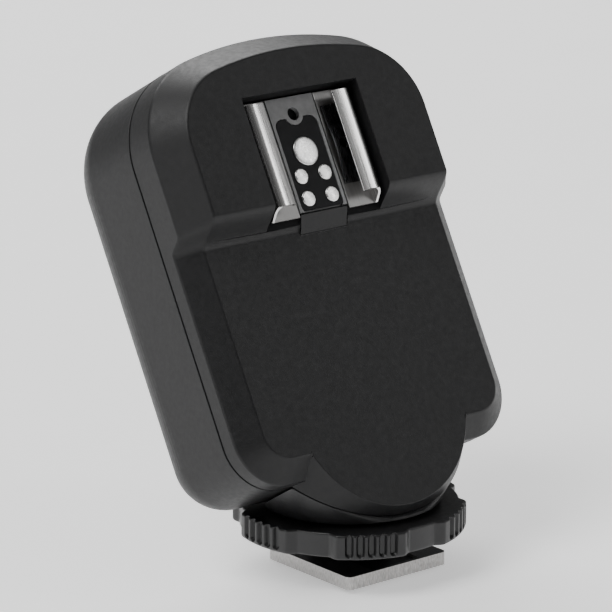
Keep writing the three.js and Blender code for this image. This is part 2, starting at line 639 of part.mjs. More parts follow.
function powerSupply() {
  const y = -BATTERY.depth;
  const cell = join(
    bar("x", BATTERY.r, -BATTERY.half, BATTERY.half - 0.3, 40),
    bar("x", 3, BATTERY.half - 0.4, BATTERY.half + 0.4, 24),
  );
  add(casing, "battery", cell.translate([0, y, BATTERY.z]), "cell");
  const contact = (ends) => box(ends, around(y, 4), around(BATTERY.z, 4));
  add(casing, "battery_contact_left", contact([-15.95, -15.65]), "contactMetal");
  add(casing, "battery_contact_right", contact([15.5, 15.8]), "contactMetal");
  const turns = 3;
  const coil = new THREE.CatmullRomCurve3(Array.from({ length: turns * 8 + 1 }, (_, i) => {
    const share = i / (turns * 8);
    const angle = share * turns * 2 * Math.PI;
    const radius = 3.4 - 1.4 * share;
    const [across, up] = [radius * Math.cos(angle), radius * Math.sin(angle)];
    return new THREE.Vector3(-15.3 + 1.4 * share, y + across, BATTERY.z + up);
  }));
  const wire = roundShape(0.2, 6);
  const options = { steps: turns * 14, bevelEnabled: false, extrudePath: coil };
  const spring = new THREE.ExtrudeGeometry(wire, options);
  add(casing, "battery_spring", spring, "contactMetal");
  const pin = moved(bar("z", 0.4, DOOR.z[0] - 1.3, DOOR.z[1] + 1.3, 12), DOOR_AXIS.x, -DOOR_AXIS.depth, 0);
  const outline = new THREE.Shape([
    new THREE.Vector2(DOOR.x[0], -DOOR_AXIS.depth - DOOR_THICK / 2),
    ...arc(DOOR_AXIS.x, -DOOR_AXIS.depth, DOOR_THICK / 2, -Math.PI / 2, Math.PI / 2, 8),
    new THREE.Vector2(DOOR.x[0], -DOOR_AXIS.depth + DOOR_THICK / 2),
  ]);
  add(casing, "battery_door", join(slab(outline, DOOR.z), pin), "blackPlastic");
}

function caseScrews() {
  CASE_SCREWS.forEach(([x, z], i) => {
    const screw = join(bar("y", 1.8, BACK - 2.2, BACK - 0.9, 16), bar("y", 0.85, -3.2, BACK - 2.1, 12));
    add(casing, `case_screw_${i + 1}`, screw.translate([x, 0, z]), "blackSteel");
  });
}

frontCover();
rearCover();
footBase();
hotShoe();
contactBlock();
lockingWheel();
foot();
boards();
controls();
powerSupply();
caseScrews();

export default part;
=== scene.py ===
"""Wireless flash trigger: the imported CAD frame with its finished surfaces, in metres."""

import math

import bmesh
import bpy
from mathutils import Matrix, Vector


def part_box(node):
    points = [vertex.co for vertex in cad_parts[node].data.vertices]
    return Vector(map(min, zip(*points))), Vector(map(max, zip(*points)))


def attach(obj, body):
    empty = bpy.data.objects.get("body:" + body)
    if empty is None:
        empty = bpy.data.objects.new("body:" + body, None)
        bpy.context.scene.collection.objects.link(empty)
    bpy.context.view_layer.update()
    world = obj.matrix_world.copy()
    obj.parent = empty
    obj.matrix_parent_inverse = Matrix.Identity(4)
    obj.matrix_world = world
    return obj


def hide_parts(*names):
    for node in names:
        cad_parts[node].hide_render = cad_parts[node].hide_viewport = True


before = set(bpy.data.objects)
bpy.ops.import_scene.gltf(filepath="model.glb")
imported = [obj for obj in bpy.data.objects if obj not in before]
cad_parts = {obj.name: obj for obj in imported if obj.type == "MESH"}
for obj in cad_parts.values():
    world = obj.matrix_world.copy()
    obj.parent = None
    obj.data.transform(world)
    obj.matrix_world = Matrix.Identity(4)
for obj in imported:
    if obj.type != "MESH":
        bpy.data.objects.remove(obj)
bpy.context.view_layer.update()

# Shapes are drawn in millimetres. ROW takes them to the frame's metres, and CASING leans them too.
# In the casing, x is to the right, y to the back and z up along the leaning body. A depth is -y.
LEAN = math.radians(29)
ROW = Matrix.Scale(0.001, 4)
CASING = ROW @ Matrix.Translation((0, -4, 15.66)) @ Matrix.Rotation(-LEAN, 4, "X")

HALF_WIDTH, HEIGHT = 25.05, 64
TOP_CORNER_R, TOP_ARC_R, BOTTOM_CORNER_R = 13.8, 66, 7.5
BEVEL = 3.36
PANEL, PANEL_EDGE = 5.5, 2.65
FACE, FACE_EDGE = 10.3, 5.2
STEP_Z, STEP_SLOPE, STEP_LOW, STEP_HIGH = 36.6, 0.44, 34.4, 38.8
BACK, BACK_ROUND = 17.6, 7
LOBE_Z, LOBE_R, LOBE_DRAFT = 8.2, 15.3, 0.6
POCKET_HALF, POCKET_TOP, POCKET_FLOOR = 10.6, 54.5, 6.25
SHOE_FLOOR, SHEET, CHANNEL_HALF = 7.1, 0.45, 9.43
LIP_HALF, LIP_TOP, LIP_BOTTOM_Z, RAIL_TOP_Z, SHEET_END_Z = 6.3, 9.65, 38.1, 53.5, 36.45
CONTACT_HALF, LOCK_HOLE_Z, SPRING_Z = 4.35, 51.6, 46
STEM_Y = 1.8
WHEEL_R, WHEEL_RECESS, WHEEL_Z, WHEEL_BORE_R = 17.05, 1.0, (5.5, 9.2), 7.9
WHEEL_TURN, WHEEL_LOBES, LOBE_HALF_ANGLE = math.radians(0.9), 6, math.radians(16.5)
GROOVES, GROOVE_DEPTH = 5, 0.5
WALL, GAP = 1.6, 0.3
TONGUE_TOP, SHEET_WINDOW_HALF, SPRING_HOLE_R, SPRING_THICK = 36.9, 4.6, 0.85, 0.16
CENTER_CONTACT_R, SIGNAL_CONTACT_R = 2.15, 1.15
# Places in the casing as (x, z), and buttons as (x, radius).
CASE_SCREWS = ((-15.2, 31.2), (15.2, 31.2), (-15.4, 52.6), (15.4, 52.6))
BUTTONS, BUTTON_Z = ((-13.4, 2.3), (-6.2, 2.3), (1, 2.3), (11.4, 4.2)), 38
BASE_SCREW_X, BASE_SCREW_Y = 9.6, 0.5


# ---------------------------------------------------------------- materials


class Nodes:
    """A material's node tree, with short calls for the nodes it uses."""

    def __init__(self, name):
        self.material = bpy.data.materials.new(name)
        self.material.use_nodes = True
        self.tree = self.material.node_tree
        self.tree.nodes.clear()
        self.shader = self.node("ShaderNodeBsdfPrincipled")
        output = self.node("ShaderNodeOutputMaterial")
        self.link(self.shader.outputs[0], output.inputs["Surface"])
        self.coordinates = self.node("ShaderNodeTexCoord").outputs["Object"]

    def node(self, kind, **settings):
        made = self.tree.nodes.new(kind)
        for key, value in settings.items():
            setattr(made, key, value)
        return made

    def link(self, start, end):
        self.tree.links.new(start, end)

    def noise(self, scale, detail=3.0, stretch=(1, 1, 1), turn=0.0):
        """Noise stretched along the axes of a space turned about X."""
        mapping = self.node("ShaderNodeMapping", vector_type="TEXTURE")
        mapping.inputs["Scale"].default_value = stretch
        mapping.inputs["Rotation"].default_value = (-turn, 0, 0)
        self.link(self.coordinates, mapping.inputs["Vector"])
        noise = self.node("ShaderNodeTexNoise")
        noise.inputs["Scale"].default_value = scale
        noise.inputs["Detail"].default_value = detail
        self.link(mapping.outputs[0], noise.inputs["Vector"])
        return noise.outputs["Fac"]

    def ramp(self, value, low, high, start=0.0, end=1.0):
        spread = self.node("ShaderNodeMapRange")
        spread.inputs["From Min"].default_value = start
        spread.inputs["From Max"].default_value = end
        spread.inputs["To Min"].default_value = low
        spread.inputs["To Max"].default_value = high
        self.link(value, spread.inputs["Value"])
        return spread.outputs["Result"]

    def colours(self, value, low, high, start=0.3, end=0.7):
        ramp = self.node("ShaderNodeValToRGB")
        ramp.color_ramp.elements[0].position = start
        ramp.color_ramp.elements[1].position = end
        ramp.color_ramp.elements[0].color = (*low, 1)
        ramp.color_ramp.elements[1].color = (*high, 1)
        self.link(value, ramp.inputs["Fac"])
        return ramp.outputs["Color"]

    def bump(self, value, distance, strength=1.0):
        bump = self.node("ShaderNodeBump")
        bump.inputs["Distance"].default_value = distance
        bump.inputs["Strength"].default_value = strength
        self.link(value, bump.inputs["Height"])
        before = self.shader.inputs["Normal"]
        if before.links:
            self.link(before.links[0].from_socket, bump.inputs["Normal"])
        self.link(bump.outputs[0], before)


def plastic(name, colour, roughness, grain=5200, depth=0.012, specular=0.5):
    """Moulded plastic: fine spark-eroded grain, faint mottling of tone and gloss."""
    m = Nodes(name)
    low = tuple(c * 0.88 for c in colour)
    high = tuple(c * 1.12 for c in colour)
    m.link(m.colours(m.noise(900, 4), low, high), m.shader.inputs["Base Color"])
    gloss = m.ramp(m.noise(1400, 3), roughness - 0.05, roughness + 0.05, 0.3, 0.7)
    m.link(gloss, m.shader.inputs["Roughness"])
    m.shader.inputs["Specular IOR Level"].default_value = specular
    m.bump(m.noise(grain, 2), depth * 0.001)
    return m.material


def metal(name, colour, roughness, streak=(1, 1, 1), turn=0.0, depth=0.004, scale=9000):
    """Drawn or rolled metal: streaks along one direction in tone, gloss and relief."""
    m = Nodes(name)
    m.shader.inputs["Metallic"].default_value = 1.0
    streaks = m.noise(scale, 3, streak, turn)
    low = tuple(c * 0.82 for c in colour)
    m.link(m.colours(streaks, low, colour), m.shader.inputs["Base Color"])
    m.link(m.ramp(streaks, roughness - 0.07, roughness + 0.09, 0.3, 0.7), m.shader.inputs["Roughness"])
    m.bump(streaks, depth * 0.001)
    return m.material


def painted_foot(name):
    """Black finish on the top and underside, ground bright along the plate's edges."""
    m = Nodes(name)
    geometry = m.node("ShaderNodeNewGeometry")
    split = m.node("ShaderNodeSeparateXYZ")
    m.link(geometry.outputs["Normal"], split.inputs[0])
    flat = m.node("ShaderNodeMath", operation="ABSOLUTE")
    m.link(split.outputs["Z"], flat.inputs[0])
    bare = m.ramp(flat.outputs[0], 1.0, 0.0, 0.35, 0.6)
    grain = m.noise(7000, 4, (1, 1, 4))
    steel = m.colours(grain, (0.34, 0.33, 0.32), (0.62, 0.61, 0.6))
    black = m.colours(m.noise(2500, 3), (0.012, 0.012, 0.013), (0.022, 0.022, 0.023))
    mix = m.node("ShaderNodeMix", data_type="RGBA")
    m.link(bare, mix.inputs["Factor"])
    m.link(black, mix.inputs["A"])
    m.link(steel, mix.inputs["B"])
    m.link(mix.outputs["Result"], m.shader.inputs["Base Color"])
    m.link(bare, m.shader.inputs["Metallic"])
    m.link(m.ramp(grain, 0.36, 0.52, 0.3, 0.7), m.shader.inputs["Roughness"])
    m.bump(grain, 0.000012)
    return m.material


def clear(name, colour, roughness=0.06):
    m = Nodes(name)
    smudge = m.noise(260, 3)
    m.link(m.colours(smudge, colour, tuple(c * 1.25 for c in colour)), m.shader.inputs["Base Color"])
    m.link(m.ramp(smudge, roughness, roughness + 0.08, 0.35, 0.7), m.shader.inputs["Roughness"])
    return m.material


ALONG_RAIL = (1, 1, 60)
casing_black = plastic("casing_plastic", (0.011, 0.011, 0.0115), 0.45, specular=0.31)
wheel_black = plastic("wheel_plastic", (0.010, 0.010, 0.0105), 0.36, 3800, 0.008)
base_black = plastic("base_plastic", (0.010, 0.010, 0.0105), 0.44)
block_black = plastic("insulator_plastic", (0.007, 0.007, 0.008), 0.5, 4200, 0.006, 0.2)
frame_grey = plastic("frame_plastic", (0.19, 0.19, 0.192), 0.42, 4200, 0.008)
# Darker, duller black for the pocket inside the same casing moulding: painted shade in the recess.
pocket_painted_shade = plastic("pocket_painted_shade_plastic", (0.006, 0.006, 0.0065), 0.7, 5200, 0.012, 0.18)
button_grey = plastic("button_plastic", (0.16, 0.16, 0.165), 0.5)
soft_rubber = plastic("rubber_soft", (0.014, 0.014, 0.015), 0.68, 3600, 0.02, 0.35)
rail_steel = metal("rail_steel", (0.86, 0.85, 0.84), 0.21, ALONG_RAIL, LEAN, 0.0012, 5000)
# Darker, duller copy of the rail steel for the channel floor of the same folded sheet: painted shade.
sheet_steel_painted_shade = metal("sheet_steel_painted_shade", (0.34, 0.335, 0.33), 0.42, ALONG_RAIL, LEAN, 0.001, 5000)
spring_steel = metal("spring_steel", (0.13, 0.13, 0.135), 0.26, ALONG_RAIL, LEAN, 0.001, 5000)
plain_steel = metal("plain_steel", (0.6, 0.6, 0.61), 0.32, (1, 1, 1))
black_steel = metal("black_steel", (0.06, 0.06, 0.065), 0.38, (1, 1, 1))
silver = metal("contact_silver", (0.97, 0.965, 0.955), 0.3, (1, 1, 1), 0.0, 0.0004, 2500)
brass = metal("insert_brass", (0.62, 0.44, 0.2), 0.3, (1, 1, 8))
foot_finish = painted_foot("foot_steel")
board_green = plastic("board_mask", (0.02, 0.09, 0.04), 0.35, 1500, 0.01)
dark_glass = clear("display_glass", (0.012, 0.014, 0.016))
light_guide = clear("light_guide", (0.55, 0.6, 0.56), 0.2)
cell_wrap = plastic("cell_wrap", (0.08, 0.12, 0.22), 0.3, 900, 0.006)


# ---------------------------------------------------------------- shapes


def mesh_of(vertices, faces, place):
    mesh = bpy.data.meshes.new("shape")
    mesh.from_pydata([place @ Vector(v) for v in vertices], [], faces)
    bm = bmesh.new()
    bm.from_mesh(mesh)
    bmesh.ops.recalc_face_normals(bm, faces=bm.faces)
    bm.to_mesh(mesh)
    bm.free()
    return mesh


def loft(rings, place, closed=False):
    """Closed solid through rings of equal length. The ends are capped, or joined if closed."""
    count = len(rings[0])
    vertices = [p for ring in rings for p in ring]
    faces = []
    spans = range(len(rings) if closed else len(rings) - 1)
    for level in spans:
        a, b = level * count, (level + 1) % len(rings) * count
        for i in range(count):
            j = (i + 1) % count
            faces.append((a + i, a + j, b + j, b + i))
    if not closed:
        faces.append(tuple(range(count)))
        faces.append(tuple(len(vertices) - count + i for i in range(count)))
    return mesh_of(vertices, faces, place)


def arc(cx, cz, r, start, end, steps):
    angles = [start + (end - start) * i / steps for i in range(steps + 1)]
    return [(cx + r * math.cos(a), cz + r * math.sin(a)) for a in angles]


def rounded(x0, x1, z0, z1, r, steps=8):
    quarter = math.pi / 2
    corners = [(x1 - r, z0 + r, -1), (x1 - r, z1 - r, 0), (x0 + r, z1 - r, 1), (x0 + r, z0 + r, 2)]
    return [p for x, z, turn in corners for p in arc(x, z, r, turn * quarter, (turn + 1) * quarter, steps)]


def upright(outline, y0, y1, place=CASING):
    """Prism from an outline in x and z, between two places in y."""
    return loft([[(x, y, z) for x, z in outline] for y in (y0, y1)], place)


def sideways(outline, x0, x1, place=CASING):
    """Prism from an outline of (depth, z) pairs, between two places in x."""
    return loft([[(x, -d, z) for d, z in outline] for x in (x0, x1)], place)


def block(x, y, z, place=CASING):
    return upright([(x[0], z[0]), (x[1], z[0]), (x[1], z[1]), (x[0], z[1])], y[0], y[1], place)


def turned(profile, centre, axis, place, steps=48):
    """Turned solid from (radius, distance) pairs along an axis through centre, starting and ending on it."""
    rings = []
    for i in range(steps):
        a = 2 * math.pi * i / steps
        ring = []
        for r, t in profile:
            c, s = r * math.cos(a), r * math.sin(a)
            offset = {"x": (t, c, s), "y": (c, t, s), "z": (c, s, t)}[axis]
            ring.append(tuple(o + k for o, k in zip(offset, centre)))
        rings.append(ring)
    return loft_tube(rings, place)


def loft_tube(rings, place):
    """Solid of revolution from its meridians, with the doubled points on the axis merged."""
    count = len(rings[0])
    vertices = [p for ring in rings for p in ring]
    faces = []
    for turn in range(len(rings)):
        a, b = turn * count, (turn + 1) % len(rings) * count
        faces += [(a + i, a + i + 1, b + i + 1, b + i) for i in range(count - 1)]
    mesh = mesh_of(vertices, faces, place)
    bm = bmesh.new()
    bm.from_mesh(mesh)
    bmesh.ops.remove_doubles(bm, verts=bm.verts, dist=1e-7)
    bmesh.ops.recalc_face_normals(bm, faces=bm.faces)
    bm.to_mesh(mesh)
    bm.free()
    return mesh


def drum(axis, r, start, end, centre=(0, 0, 0), place=CASING, steps=48):
    return turned([(0, start), (r, start), (r, end), (0, end)], centre, axis, place, steps)


def combine(mesh, tools, operation="DIFFERENCE"):
    """The mesh after an exact boolean with each tool."""
    target = bpy.data.objects.new("target", mesh)
    bpy.context.scene.collection.objects.link(target)
    helpers = []
    for tool in tools:
        helper = bpy.data.objects.new("tool", tool)
        bpy.context.scene.collection.objects.link(helper)
        modifier = target.modifiers.new("boolean", "BOOLEAN")
        modifier.object, modifier.operation, modifier.solver = helper, operation, "EXACT"
        helpers.append(helper)
    evaluated = target.evaluated_get(bpy.context.evaluated_depsgraph_get())
    result = bpy.data.meshes.new_from_object(evaluated)
    for helper in [target, *helpers]:
        bpy.data.objects.remove(helper)
    return result


def soften(mesh, width, angle=40, segments=2):
    """Rounds the mesh's sharp edges by a width in millimetres, once flat faces are whole again."""
    bm = bmesh.new()
    bm.from_mesh(mesh)
    bmesh.ops.remove_doubles(bm, verts=bm.verts, dist=2e-6)
    bmesh.ops.dissolve_limit(bm, angle_limit=math.radians(0.3), verts=bm.verts, edges=bm.edges)
    sharp = [e for e in bm.edges if e.is_manifold and e.calc_face_angle(0) > math.radians(angle)]
    bmesh.ops.bevel(
        bm,
        geom=sharp,
        offset=width * 0.001,
        segments=segments,
        profile=0.5,
        affect="EDGES",
        clamp_overlap=False,
    )
    bm.to_mesh(mesh)
    bm.free()
    return mesh


def set_normals(mesh, angle=38, flat=25e-6):
    """Corner normals weighted by area over the faces that meet smoothly. Large flat faces keep their own."""
    mesh.shade_smooth()
    around = [[] for _ in mesh.vertices]
    for face in mesh.polygons:
        for corner in face.vertices:
            around[corner].append(face)
    limit = math.cos(math.radians(angle))
    normals = []
    for face in mesh.polygons:
        for corner in face.vertices:
            near = [f for f in around[corner] if f.normal.dot(face.normal) > limit]
            largest = max(near, key=lambda f: f.area) if near else face
            if face.area > flat:
                normals.append(face.normal.copy())
            elif largest.area > flat:
                normals.append(largest.normal.copy())
            else:
                normals.append(sum((f.normal * f.area for f in near), Vector()).normalized())
    mesh.normals_split_custom_set(normals)


def piece(name, mesh, material, body, stands_for):
    """A finished piece: smooth where it curves, riding on a CAD body in place of CAD nodes."""
    mesh.name = name
    set_normals(mesh)
    mesh.materials.clear()
    mesh.materials.append(material)
    made = bpy.data.objects.new(name, mesh)
    bpy.context.scene.collection.objects.link(made)
    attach(made, body)
    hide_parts(*stands_for)
    return made


def finish(names, material, angle=30):
    """CAD nodes kept as they are, each with its material. Their edges stay as sharp as in the CAD."""
    for name in names.split():
        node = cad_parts[name]
        node.data.materials.clear()
        node.data.materials.append(material)
        node.data.shade_smooth()
        node.data.set_sharp_from_angle(angle=math.radians(angle))
        normals = node.modifiers.new("normals", "WEIGHTED_NORMAL")
        normals.keep_sharp = True


# ---------------------------------------------------------------- casing


def outline(inset):
    """Right half of the casing's outline, from the bottom edge to the middle of the top."""
    half, top = HALF_WIDTH - inset, HEIGHT - inset
    corner_r, top_r = TOP_CORNER_R - inset, TOP_ARC_R - inset
    bottom_r = max(BOTTOM_CORNER_R - inset, 0.5)
    corner_x = half - corner_r
    corner_z = top - top_r + math.sqrt((top_r - corner_r) ** 2 - corner_x**2)
    meet = math.atan2(corner_z - (top - top_r), corner_x)
    side = [(half, STEP_LOW + (STEP_HIGH - STEP_LOW) * i / 28) for i in range(29)]
    return (
        arc(half - bottom_r, inset + bottom_r, bottom_r, -math.pi / 2, 0, 16)
        + side
        + arc(corner_x, corner_z, corner_r, 0, meet, 28)
        + arc(0, top - top_r, top_r, meet, math.pi / 2, 14)[1:-1]
    )


def shell(levels):
    """Closed solid through left-right symmetric outlines. Each level is an inset and a depth at height z."""
    vertices, faces = [], []
    for inset, depth in levels:
        half = outline(inset)
        for side in (1, -1):
            vertices += [(x * side, -(depth(z) if callable(depth) else depth), z) for x, z in half]
    count = len(half)
    order = list(range(count)) + [2 * count - 1 - i for i in range(count)]
    for level in range(len(levels) - 1):
        a = level * 2 * count
        b = a + 2 * count
        for i, j in zip(order, order[1:] + order[:1]):
            faces.append((a + i, b + i, b + j, a + j))
    last = (len(levels) - 1) * 2 * count
    for i in range(count - 1):
        for start in (0, last):
            faces.append((start + i, start + i + 1, start + count + i + 1, start + count + i))
    return mesh_of(vertices, faces, CASING)


def smooth(t):
    t = min(max(t, 0), 1)
    return t * t * (3 - 2 * t)


def mixed(low, high):
    """Depth over height across the S-shaped step, from the panel's up to the raised face's."""
    run = STEP_SLOPE * (high - low)
    return lambda z: low + (high - low) * smooth((z - STEP_Z + run) / (2 * run))


def fillet(inset, edge, before, after, run, steps=5):
    """Levels of a rounded profile corner: before and after give its two ends, a run away from the corner."""
    made = []
    for i in range(steps + 1):
        t = i / steps
        a, b, c = (1 - t) ** 2, 2 * t * (1 - t), t * t
        start, end = before(run), after(run)

        def depth(z, a=a, b=b, c=c, start=start, end=end):
            return (a + b + c) * edge(z) + a * start[1](z) + c * end[1](z)

        made.append((inset + a * start[0] + c * end[0], depth))
    return made


def front_levels():
    wall_edge = mixed(PANEL_EDGE, FACE_EDGE)
    face = mixed(PANEL, FACE)

    def slope(z):
        return (face(z) - wall_edge(z)) / BEVEL

    down_wall = lambda run: (0, lambda z: -run)
    along_bevel = lambda run: (run, lambda z: run * slope(z))
    back_bevel = lambda run: (-run, lambda z: -run * slope(z))
    onto_face = lambda run: (run, lambda z: 0)
    return [
        (0.05, 0.06),
        (0, 0.12),
        (0, 1.2),
        *fillet(0, wall_edge, down_wall, along_bevel, 0.24),
        *fillet(BEVEL, face, back_bevel, onto_face, 0.24),
    ]


def back_levels(wall=0.0, grow=0.0):
    """Levels of the rounded back up to the seam, or past it where the solid only serves to cut."""
    steps = 16
    radius = BACK_ROUND - wall
    levels = []
    for i in range(steps + 1):
        angle = math.pi / 2 * (1 - i / steps)
        depth = -(BACK - BACK_ROUND + radius * math.sin(angle)) - grow
        levels.append((wall - grow + radius * (1 - math.cos(angle)), depth))
    if wall or grow:
        return [*levels, (wall - grow, 1)]
    return [*levels, (0, -5), (0, -0.12), (0.05, -0.06)]


def lobe_seam(z):
    return 0.7 - 0.38 * z


def lobe_radius(depth):
    return LOBE_R + LOBE_DRAFT * (PANEL - depth)


def lobe_solid(grow=0.0, front=PANEL):
    """Round lobe under the panel, in front of its tilted back edge, grown on every side by a clearance."""
    back = 0.55
    front += grow
    ends = [(lobe_radius(depth) + grow, -depth) for depth in (back, front)]
    cone = turned([(0, -back), *ends, (0, -front)], (0, 0, LOBE_Z), "y", CASING, 160)
    top = 0.3
    seam = [(lobe_seam(z) - grow, z) for z in (top, -12)]
    return combine(cone, [sideways([(-30, top), *seam, (-30, -12)], -30, 30)])


def front_cover():
    """Outer skin with the lobe cut level with the panel, hollowed, with the shoe's pocket and the tongue."""
    outer = combine(shell(front_levels()), [lobe_solid(front=PANEL + 0.4)], "UNION")
    level = PANEL - 0.01
    outer = combine(outer, [sideways([(level, -12), (level, 34), (7, 36), (20, 36), (20, -12)], -30, 30)])
    hollow = shell([
        (WALL, -1),
        (WALL, mixed(PANEL_EDGE - 0.8, FACE_EDGE - 0.8)),
        (BEVEL + 1.1, mixed(PANEL - WALL, FACE - WALL)),
    ])
    reach = POCKET_HALF + WALL
    walls = block((-reach, reach), (-FACE + 1, -POCKET_FLOOR + 1.4), (STEP_LOW - 0.2, POCKET_TOP + WALL))
    hollow = combine(hollow, [walls])
    pocket = block((-POCKET_HALF, POCKET_HALF), (-FACE - 5, -POCKET_FLOOR), (STEP_LOW - 1, POCKET_TOP))
    cover = combine(outer, [hollow, pocket])
    slope = [(PANEL - 1, 34), (PANEL + 0.02, 34.2), (SHOE_FLOOR, TONGUE_TOP - 0.1)]
    ends = [(SHOE_FLOOR, TONGUE_TOP), (PANEL - 1, TONGUE_TOP)]
    cover = combine(cover, [sideways(slope + ends, -CONTACT_HALF, CONTACT_HALF)], "UNION")
    made = piece("front_shell", soften(cover, 0.13), casing_black, "casing", ["front_cover"])
    # Painted shade: the pocket's walls and floor take the darker black.
    paint_pocket_shade(made)


def paint_pocket_shade(cover):
    """Gives the pocket's walls and floor a darker, duller black as painted shade in the recess, but not the
    tongue under the contacts.
    """
    cover.data.materials.append(pocket_painted_shade)
    to_casing = CASING.inverted()
    for face in cover.data.polygons:
        x, y, z = to_casing @ face.center
        inside = abs(x) < POCKET_HALF + 0.03 and STEP_LOW - 0.5 < z < POCKET_TOP + 0.03
        deep = -FACE + 0.1 < y < -POCKET_FLOOR + 0.05
        outward = (to_casing.to_3x3() @ face.normal).normalized().y < -0.9
        proud = outward and y < -SHOE_FLOOR - 0.3
        tongue = abs(x) < CONTACT_HALF + 0.05 and z < TONGUE_TOP + 0.05
        if inside and deep and not proud and not tongue:
            face.material_index = 1


def rear_cover():
    """Back skin, hollowed, with the openings for the controls, the door and the socket, and screw posts."""
    cover = combine(shell(back_levels()), [shell(back_levels(WALL))])
    inside, shallow, outside = BACK - 3, BACK - 0.7, BACK + 1
    doorway = upright(rounded(-15.8, 15.8, 6.9, 24.9, 0.8), inside, outside)
    window_seat = upright(rounded(-12.5, 10.5, 44.6, 55.2, 1), shallow, outside)
    window_hole = upright(rounded(-11.3, 9.3, 45.8, 54, 0.6), inside, outside)
    switch_slot = block((22, 26), (1.9, 4.9), (38.4, 47.6))
    flap_seat = block((24.25, 26), (0.9, 7.9), (24.6, 34.4))
    socket_hole = drum("x", 2.3, 22, 26, (0, 4.4, 29.5))
    lamp_hole = drum("y", 1.3, inside, BACK + 2, (14.8, 0, 46.6))
    finger_notch = drum("y", 1.9, shallow, outside, (-16.3, 0, 15.9))
    tools = [doorway, window_seat, window_hole, switch_slot, flap_seat, socket_hole, lamp_hole, finger_notch]
    for x, r in BUTTONS:
        tools.append(drum("y", r + 0.25, inside, BACK + 2, (x, 0, BUTTON_Z)))
    cover = combine(cover, tools)
    posts, bores = [], []
    post_r, head_r, shank_r = 2.8, 2.1, 1.25
    for x, z in CASE_SCREWS:
        posts.append(drum("y", post_r, 1.5, BACK - 1, (x, 0, z)))
        bores.append(drum("y", head_r, BACK - 2.4, outside, (x, 0, z)))
        bores.append(drum("y", shank_r, 0, BACK, (x, 0, z)))
    cover = combine(combine(cover, posts, "UNION"), bores)
    piece("rear_shell", soften(cover, 0.13), casing_black, "casing", ["rear_cover"])


def foot_base():
    """Pedestal: the hull of the lobe's back edge and a level rim over the wheel, clear of both covers."""
    lean = ROW.inverted() @ CASING
    points = []
    for i in range(161):
        angle = math.pi * (1 + i / 160)
        depth = lobe_seam(0)
        for _ in range(8):
            z = LOBE_Z + lobe_radius(depth) * math.sin(angle)
            depth = lobe_seam(min(z, 0))
        points.append(lean @ Vector((lobe_radius(depth) * math.cos(angle), 0.4 - depth, z)))
    for radius, z in ((13.3, 9.65), (13.43, 9.7), (13.5, 9.85)):
        points += [Vector((x, y, z)) for x, y in arc(0, STEM_Y, radius, 0, 2 * math.pi, 240)[:-1]]
    bm = bmesh.new()
    for point in points:
        bm.verts.new(ROW @ point)
    bmesh.ops.convex_hull(bm, input=bm.verts)
    bmesh.ops.delete(bm, geom=[v for v in bm.verts if not v.link_faces], context="VERTS")
    bmesh.ops.recalc_face_normals(bm, faces=bm.faces)
    mesh = bpy.data.meshes.new("hull")
    bm.to_mesh(mesh)
    bm.free()
    tools = [
        block((-30, 30), (5, 40), (0, 60), ROW),
        shell([(-GAP, -14), (-GAP, PANEL_EDGE), (BEVEL - GAP, PANEL + GAP)]),
        shell(back_levels(0, GAP)),
        lobe_solid(GAP),
        drum("z", 6.3, 5, 10.2, (0, STEM_Y, 0), ROW),
    ]
    for x in (-BASE_SCREW_X, BASE_SCREW_X):
        for radius, end in ((1.1, 30), (1.9, 11)):
            tools.append(drum("z", radius, 5, end, (x, BASE_SCREW_Y, 0), ROW))
    base = soften(combine(mesh, tools), 0.08)
    piece("base_collar", base, base_black, "casing", ["foot_base"])


front_cover()
rear_cover()
foot_base()


# ---------------------------------------------------------------- shoe and contacts


def hot_shoe():
    """Folded sheet: bent up into a wall on each side, then over into a gently bowed lip."""
    wall, bend = CHANNEL_HALF + SHEET, 1.5
    turn_x, top = wall - bend, LIP_TOP
    bow, tip, steps = 0.2, LIP_HALF + 0.2, 6
    along = [i / steps for i in range(1, steps + 1)]
    over = [(turn_x - (turn_x - tip) * t, top - bow * t * t) for t in along]
    under = [(x, d - SHEET) for x, d in reversed(over)]
    right = (
        [(wall, SHOE_FLOOR - SHEET)]
        + arc(turn_x, top - bend, bend, 0, math.pi / 2, 14)
        + over
        + arc(tip, top - bow - SHEET / 2, 0.2, math.radians(75), math.radians(285), 8)
        + under
        + arc(turn_x, top - bend, bend - SHEET, math.pi / 2, 0, 10)
        + [(CHANNEL_HALF, SHOE_FLOOR)]
    )
    section = right + [(-x, d) for x, d in reversed(right)]
    rails = loft([[(x, -d, z) for x, d in section] for z in (SHEET_END_Z, POCKET_TOP - GAP)], CASING)
    middle, over_floor = (-SHEET_WINDOW_HALF, SHEET_WINDOW_HALF), SHOE_FLOOR + 0.1
    slant = [(over_floor, SHEET_END_Z), (LIP_TOP - SHEET, LIP_BOTTOM_Z)]
    tools = [
        block(middle, (-SHOE_FLOOR - 1, 0), (30, 53.1)),
        block(middle, (-SHOE_FLOOR - 1, -SHOE_FLOOR + 0.25), (53, 60)),
        sideways([(over_floor, 30), *slant, (12, LIP_BOTTOM_Z), (12, 30)], -12, 12),
        block((-12, 12), (-12, -over_floor), (RAIL_TOP_Z, 60)),
        drum("y", SPRING_HOLE_R, -9, 0, (-6.9, 0, SPRING_Z)),
        drum("y", SPRING_HOLE_R, -9, 0, (6.9, 0, SPRING_Z)),
    ]
    shoe = combine(rails, tools)
    made = piece("shoe_rails", soften(shoe, 0.06), rail_steel, "casing", ["hot_shoe_plate"])
    # The floor faces of the folded sheet take the darker steel copy: painted shade.
    made.data.materials.append(sheet_steel_painted_shade)
    for face in made.data.polygons:
        if (CASING.inverted() @ face.center).y > -SHOE_FLOOR - 0.03 and face.area > 1e-7:
            face.material_index = 1


